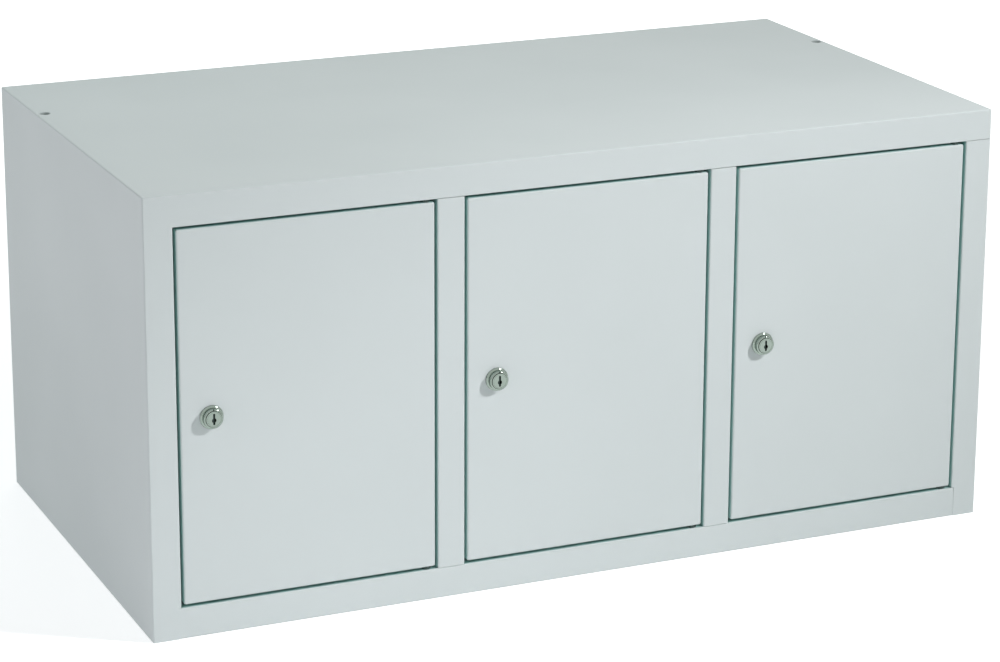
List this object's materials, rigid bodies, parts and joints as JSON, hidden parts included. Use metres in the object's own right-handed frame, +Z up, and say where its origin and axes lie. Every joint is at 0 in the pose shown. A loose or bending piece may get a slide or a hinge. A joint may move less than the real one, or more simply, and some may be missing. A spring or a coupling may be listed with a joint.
{
  "type": "steel locker",
  "caption": "Low steel locker with lockable side-by-side compartments, each behind an inset hinged door with a cylinder cam lock.",
  "frame": {"origin": "on the floor, in the middle of the whole object's box, whose front is the faces of the locks", "axes": "+X to the right as seen from the front, +Y to the rear, +Z up"},
  "size_m": [0.93, 0.5084, 0.45],
  "materials": {
    "paint": "light grey satin stove enamel on folded sheet steel",
    "nickel": "satin nickel plate",
    "zinc": "zinc-plated steel",
    "nylon": "black moulded nylon",
    "rubber": "matt black rubber",
    "grey_plastic": "grey moulded plastic"
  },
  "bodies": {
    "case": {"outer_wrap": "paint", "bottom_panel": "paint", "rear_panel": "paint", "left_partition": "paint", "right_partition": "paint", "left_post": "paint", "right_post": "paint", "left_top_plug": "grey_plastic", "right_top_plug": "grey_plastic", "left_lower_buffer": "rubber", "left_upper_buffer": "rubber", "centre_lower_buffer": "rubber", "centre_upper_buffer": "rubber", "right_lower_buffer": "rubber", "right_upper_buffer": "rubber", "left_lower_pivot_pin": "zinc", "left_upper_pivot_pin": "zinc", "centre_lower_pivot_pin": "zinc", "centre_upper_pivot_pin": "zinc", "right_lower_pivot_pin": "zinc", "right_upper_pivot_pin": "zinc"},
    "left_door": {"left_door_panel": "paint", "left_door_stiffener": "paint", "left_lower_pivot_bush": "nylon", "left_upper_pivot_bush": "nylon", "left_lock_housing": "nickel", "left_lock_nut": "zinc"},
    "left_lock_core": {"left_lock_plug": "nickel", "left_lock_cam": "zinc", "left_cam_screw": "zinc"},
    "centre_door": {"centre_door_panel": "paint", "centre_door_stiffener": "paint", "centre_lower_pivot_bush": "nylon", "centre_upper_pivot_bush": "nylon", "centre_lock_housing": "nickel", "centre_lock_nut": "zinc"},
    "centre_lock_core": {"centre_lock_plug": "nickel", "centre_lock_cam": "zinc", "centre_cam_screw": "zinc"},
    "right_door": {"right_door_panel": "paint", "right_door_stiffener": "paint", "right_lower_pivot_bush": "nylon", "right_upper_pivot_bush": "nylon", "right_lock_housing": "nickel", "right_lock_nut": "zinc"},
    "right_lock_core": {"right_lock_plug": "nickel", "right_lock_cam": "zinc", "right_cam_screw": "zinc"}
  },
  "joints": [
    {"name": "left_door_swing", "type": "hinge", "parent": "case", "child": "left_door", "pos_m": [-0.1755, -0.23975, 0.225], "axis": [0, 0, 1], "range_deg": [0, 110]},
    {"name": "left_lock_turn", "type": "hinge", "parent": "left_door", "child": "left_lock_core", "pos_m": [-0.401, -0.24575, 0.225], "axis": [0, 1, 0], "range_deg": [0, 180]},
    {"name": "centre_door_swing", "type": "hinge", "parent": "case", "child": "centre_door", "pos_m": [0.1245, -0.23975, 0.225], "axis": [0, 0, 1], "range_deg": [0, 110]},
    {"name": "centre_lock_turn", "type": "hinge", "parent": "centre_door", "child": "centre_lock_core", "pos_m": [-0.101, -0.24575, 0.225], "axis": [0, 1, 0], "range_deg": [0, 180]},
    {"name": "right_door_swing", "type": "hinge", "parent": "case", "child": "right_door", "pos_m": [0.4245, -0.23975, 0.225], "axis": [0, 0, 1], "range_deg": [0, 110]},
    {"name": "right_lock_turn", "type": "hinge", "parent": "right_door", "child": "right_lock_core", "pos_m": [0.199, -0.24575, 0.225], "axis": [0, 1, 0], "range_deg": [0, 180]}
  ]
}
